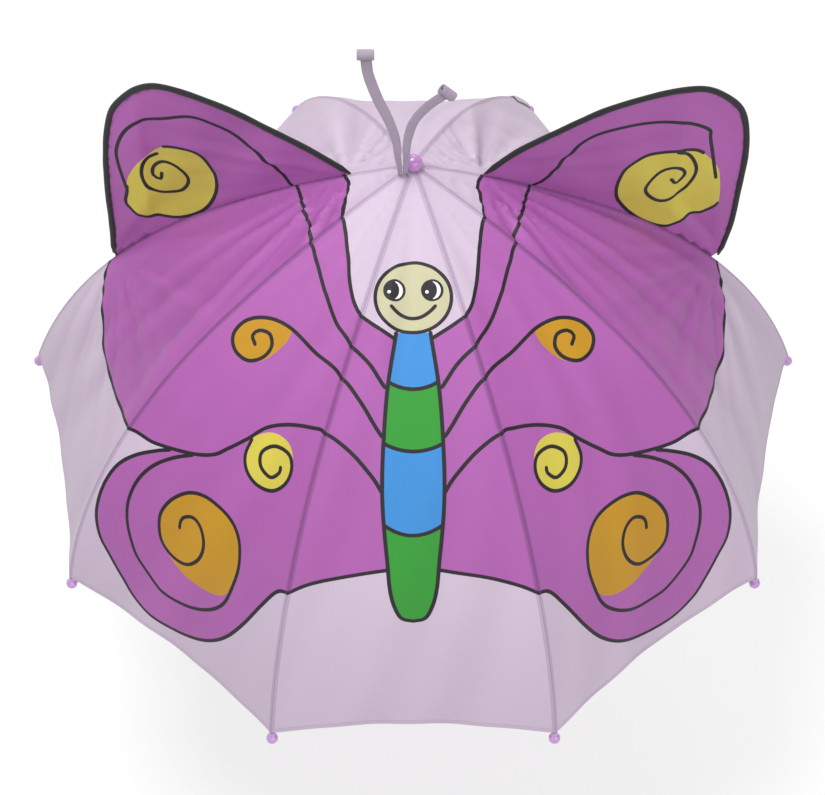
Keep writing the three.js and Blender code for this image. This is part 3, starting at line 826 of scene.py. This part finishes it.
def skin(name, parts, materials):
    """One object from several swept skins, in millimetres from the apex."""
    points, faces = [], []
    for part_points, part_faces in parts:
        faces += [tuple(v + len(points) for v in f) for f in part_faces]
        points += part_points.tolist()
    mesh = bpy.data.meshes.new(name)
    mesh.from_pydata((np.array(points) * MM + [0, 0, APEX * MM]).tolist(), [], faces)
    mesh.validate()
    for material in materials:
        mesh.materials.append(material)
    mesh.shade_smooth()
    obj = bpy.data.objects.new(name, mesh)
    bpy.context.scene.collection.objects.link(obj)
    return obj


def tape(name, color, weave=0.0007, roughness=0.8):
    """Narrow woven tape with ribs across it."""
    m = Shading(name, Sheen_Weight=0.2, Sheen_Roughness=0.5)
    place = m.node("TexCoord").outputs["Object"]
    ribs, cross = (m.node("TexWave", {"Vector": place}, bands_direction=d, Scale=WAVE_SCALE / weave,
                          Distortion=1.0).outputs[1] for d in "ZX")
    cloud = m.node("TexNoise", {"Vector": place}, Scale=60.0, Detail=4.0).outputs[0]
    base = m.tint(cloud, darkened(color, 0.85), color)
    light = tuple(min(1, c * 1.3 + 0.01) for c in color[:3]) + (1,)
    base = m.tint(m.math("MULTIPLY", ribs, 0.2), base, light)
    height = m.math("ADD", m.math("ADD", ribs, cross), m.math("MULTIPLY", cloud, 2.0))
    rough = m.math("MULTIPLY_ADD", cloud, 0.1, roughness - 0.05)
    return m.finish(base, rough, height, 0.4, 0.0002)


BLACK_TAPE = tape("black_tape", linear(17, 17, 21))
FEELER_TAPE = tape("feeler_tape", linear(158, 144, 162))
HOOK_TAPE = tape("hook_tape", linear(196, 178, 200), weave=0.0012, roughness=0.9)


def oval(half_width, half_height, n=14, power=0.8):
    """An oval that is squarer the lower its power is."""
    a = 2 * np.pi * np.arange(n) / n
    c, s = np.cos(a), np.sin(a)
    return np.stack([half_width * np.sign(c) * np.abs(c) ** power,
                     half_height * np.sign(s) * np.abs(s) ** power], -1)


def make_binding(side, i):
    edge, inwards = fin_edge(side)
    line = edge + inwards * BINDING
    path = in_rib_plane(i, line[:, 0], 0 * line[:, 0], line[:, 1])
    inward = in_rib_plane(i, inwards[:, 0], 0 * line[:, 0], inwards[:, 1])
    normal = in_rib_plane(i, 0 * line[:, 0], 0 * line[:, 0] + 1, 0 * line[:, 0])
    n = np.arange(len(line))
    uneven = 1 + 0.06 * ripple(n / 2.3, i)
    taper = np.clip(np.minimum(n + 1, len(n) - n) / 3, 0.4, 1)
    section = oval(BINDING, BINDING_THICK)[None] * (uneven * taper)[:, None, None]
    return skin(f"wing_tape_{side}", [sweep(path, inward, normal, section)], [BLACK_TAPE])


for side, i in WING_RIBS.items():
    wing, binding = make_wing(side, i), make_binding(side, i)
    for obj, node, slot in ((wing, f"wing_{side}", "purple_fabric"),
                            (binding, f"wing_binding_{side}", "black_binding")):
        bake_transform(obj)
        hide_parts(node)

# ---- feelers and tie strap ----

LEAN = math.radians(12)
# Height up a feeler and how far it stands to the side, then the turn of its roll in radians.
FEELERS = {
    "left": ([(-4, -9.4), (6, -9.9), (16, -11), (30, -12.2), (46, -17), (64, -25), (82, -31), (94, -32.5)],
             0.0),
    "right": ([(-3, -5.6), (6, -5.4), (16, -5), (30, -4.2), (44, -0.4), (54, 6.5), (61, 14), (66, 21)],
              -0.75),
}
FEELER_Y = -9.6
FOOT_SLOPE = 0.55      # the foot is sewn in towards the cap
ROLL = {"inner": 1.5, "outer": 3.95, "length": 12, "turns": 2.15, "thickness": 0.8}


def unit(v):
    return v / (np.linalg.norm(v, axis=-1)[..., None] + 1e-12)


def make_feeler(side):
    route, turn = FEELERS[side]
    line = smooth(route, polar=False, step=2.5)
    height = line[:, 0]
    back = np.maximum(0, height - 20) * math.sin(LEAN) + np.maximum(0, 3 - height) * FOOT_SLOPE
    path = np.stack([line[:, 1], FEELER_Y + back, height], -1)
    along = unit(np.gradient(path, axis=0))
    t = np.linspace(0, 1, len(path))[:, None]
    axis = np.array([math.cos(turn), 0, math.sin(turn)])
    across = np.array([1, 0, 0]) * (1 - t) + axis * t
    across = unit(across - along * (across * along).sum(1)[:, None])
    up = np.cross(across, along)
    wide = np.interp(line[:, 0], [-4, 8, 34, 60], [1.6, 1.9, 3.3, 3.9]) + 0.1 * ripple(t[:, 0] * 30, 2)
    section = oval(1, 0.62)[None] * [1, 1] * np.stack([wide, np.ones(len(wide))], -1)[:, None]
    ribbon = sweep(path, across, up, section)
    middle = path[-1] + along[-1] * 3.4
    forward = unit(along[-1] - axis * (along[-1] @ axis))
    lift = np.cross(axis, forward)
    a = np.linspace(0, 2 * np.pi * ROLL["turns"], 56)
    radius = ROLL["inner"] + (ROLL["outer"] - ROLL["inner"]) * a / a[-1]
    radial = -forward * np.cos(a - a[-1])[:, None] + lift * np.sin(a - a[-1])[:, None]
    centre = middle + radial * radius[:, None]
    section = np.tile(oval(ROLL["length"] / 2, ROLL["thickness"] / 2, 16, 0.35), (len(a), 1, 1))
    roll = sweep(centre, np.tile(axis, (len(a), 1)), radial, section)
    return skin(f"feeler_{side}", [ribbon, roll], [FEELER_TAPE]), line


for side in FEELERS:
    feeler, line = make_feeler(side)
    length = np.linalg.norm(np.diff(line, axis=0), axis=1).sum() * MM
    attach(feeler, "shaft")
    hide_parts(f"antenna_{side}")

STRAP_RIB, STRAP_S, STRAP_HALF = 3, (362, 446), 6.6
STRAP_FACES = (0.9, 2.0)       # the strap's under and upper face, above the canopy's line
HOOK_LENGTH = 30


def make_strap():
    """The tie strap lies along a back rib, with its hook patch at the loose end."""
    s = np.arange(STRAP_S[0], STRAP_S[1] + 1, 3.0)
    round_end = np.sqrt(np.clip(1 - ((s - STRAP_S[1] + 7) / 8).clip(0, 1) ** 2, 0.05, 1))
    t = np.linspace(-1, 1, 9)
    low, high = STRAP_FACES
    upper = low + (high - low) * (1 - 0.45 * t**4)
    rings = []
    for at, share in zip(s, round_end):
        place = []
        for a in t * STRAP_HALF * share:
            k, seam_side = (STRAP_RIB, -1) if a > 0 else (STRAP_RIB - 1, 1)
            place.append(gore_point(k, seam_side * chord(k, at) / 2 + a, np.float64(at)))
        place = np.array(place)
        slope = np.interp(at, ARC, LINES[STRAP_RIB][2])
        lift = in_rib_plane(STRAP_RIB, np.sin(slope), 0.0, np.cos(slope))
        rings.append(np.concatenate([place + lift * upper[:, None], (place + lift * low)[::-1]]))
    points, faces = skinned(np.array(rings))
    n, m = len(s), len(t)
    strap = skin("tie_strap_cloth", [(points, faces)], [FABRIC_INKS["lilac"], HOOK_TAPE])
    for key in ("seam", "hem"):
        layer = strap.data.attributes.new(key, "FLOAT", "POINT")
        layer.data.foreach_set("value", np.full(len(points), CLEAR_OF_SEAMS, np.float32))
    for polygon in strap.data.polygons:
        row, column = divmod(min(polygon.vertices), 2 * m)
        at_end = s[min(row, n - 1)] > STRAP_S[1] - HOOK_LENGTH
        if at_end and 1 <= column < m - 2 and len(polygon.vertices) == 4:
            polygon.material_index = 1
    return strap


strap = make_strap()
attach(strap, f"rib_outer_{STRAP_RIB + 1}")
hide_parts("tie_strap")

# ---- finishes of the frame, the cap and the handle ----

FINISHES = {
    "ferrule_cap": moulded("cap_plastic", linear(186, 128, 194), 0.2, coat=0.6),
    "handle_collar": moulded("collar_plastic", linear(186, 128, 194), 0.28, coat=0.3),
    "handle": moulded("handle_plastic", linear(178, 138, 198), 0.32, coat=0.2, grain=90),
    "rib_tip": moulded("tip_plastic", linear(190, 146, 205), 0.3, coat=0.4),
    "top_notch": moulded("hub_plastic", linear(232, 228, 233), 0.45),
    "runner": moulded("runner_plastic", linear(178, 138, 198), 0.38),
    "shaft_tube": drawn_steel("plated_tube", roughness=0.26),
    "rib": drawn_steel("rib_wire"),
    "stretcher": drawn_steel("stretcher_wire"),
    "": drawn_steel("bare_wire", roughness=0.36),    # the wires and whatever has no finish above
}
for name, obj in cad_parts.items():
    key = "" if name == "runner_wire" else next(k for k in FINISHES if name.startswith(k))
    for n in range(len(obj.material_slots)):
        obj.material_slots[n].material = FINISHES[key]

# ---- floor, light and camera ----

FLOOR_LEVEL = (0.29, 0.31)      # the floor's two greys
FLOOR_GLOW = 0.69               # it lights itself this much, for the picture's white ground
WORLD_LIGHT = 0.42
floor_z = cad_low[2] - 0.002    # just under the handle


def paper():
    m = Shading("pale_paper", Roughness=0.9)
    place = m.node("TexCoord").outputs["Object"]
    fibre = m.node("TexNoise", {"Vector": place}, Scale=400.0, Detail=3.0).outputs[0]
    dark, light = ((level, level, level, 1) for level in FLOOR_LEVEL)
    base = m.tint(fibre, dark, light)
    m.shader.inputs["Emission Color"].default_value = (1, 1, 1, 1)
    m.shader.inputs["Emission Strength"].default_value = FLOOR_GLOW
    return m.finish(base, None, fibre, 0.1, 0.0001)


mesh = bpy.data.meshes.new("floor")
reach = 12.0
mesh.from_pydata([(-reach, -reach, floor_z), (reach, -reach, floor_z), (reach, reach, floor_z),
                  (-reach, reach, floor_z)], [], [(0, 1, 2, 3)])
mesh.materials.append(paper())
floor = bpy.data.objects.new("floor", mesh)
bpy.context.scene.collection.objects.link(floor)

world = bpy.data.worlds.new("studio")
bpy.context.scene.world = world
world.use_nodes = True
world.node_tree.nodes["Background"].inputs[0].default_value = (1, 1, 1, 1)
world.node_tree.nodes["Background"].inputs[1].default_value = WORLD_LIGHT


def aim(obj, target):
    obj.rotation_euler = (Vector(target) - obj.location).to_track_quat("-Z", "Y").to_euler()


def area_light(name, place, size, power):
    light = bpy.data.lights.new(name, "AREA")
    light.shape, light.size, light.energy = "DISK", size, power
    obj = bpy.data.objects.new(name, light)
    obj.location = place
    bpy.context.scene.collection.objects.link(obj)
    aim(obj, (0, 0, APEX * MM - 0.15))


# Place in metres, width in metres and power in watts.
area_light("key", (-0.6, 0.0, 2.65), 1.1, 43)
area_light("fill", (0.8, -2.1, 1.5), 1.8, 23)
area_light("back", (0.4, 2.0, 2.2), 1.6, 17)

CAMERA_ELEVATION = math.radians(50.22)
CAMERA_DISTANCE = 1.5
CAMERA_AIM = (-0.0006, 0.1673)     # metres beside the apex, and below it in the picture
CAMERA_LENS = 91.1
CAMERA_SENSOR = 36
back = Vector((0, -math.cos(CAMERA_ELEVATION), math.sin(CAMERA_ELEVATION)))
view_up = Vector((0, math.sin(CAMERA_ELEVATION), math.cos(CAMERA_ELEVATION)))
target = Vector((CAMERA_AIM[0], 0, APEX * MM)) - view_up * CAMERA_AIM[1]
camera_data = bpy.data.cameras.new("camera")
camera_data.lens = CAMERA_LENS
camera_data.sensor_width = CAMERA_SENSOR
camera = bpy.data.objects.new("camera", camera_data)
bpy.context.scene.collection.objects.link(camera)
camera.location = target + back * CAMERA_DISTANCE
aim(camera, target)
bpy.context.scene.camera = camera
bpy.context.scene.view_settings.view_transform = "Standard"
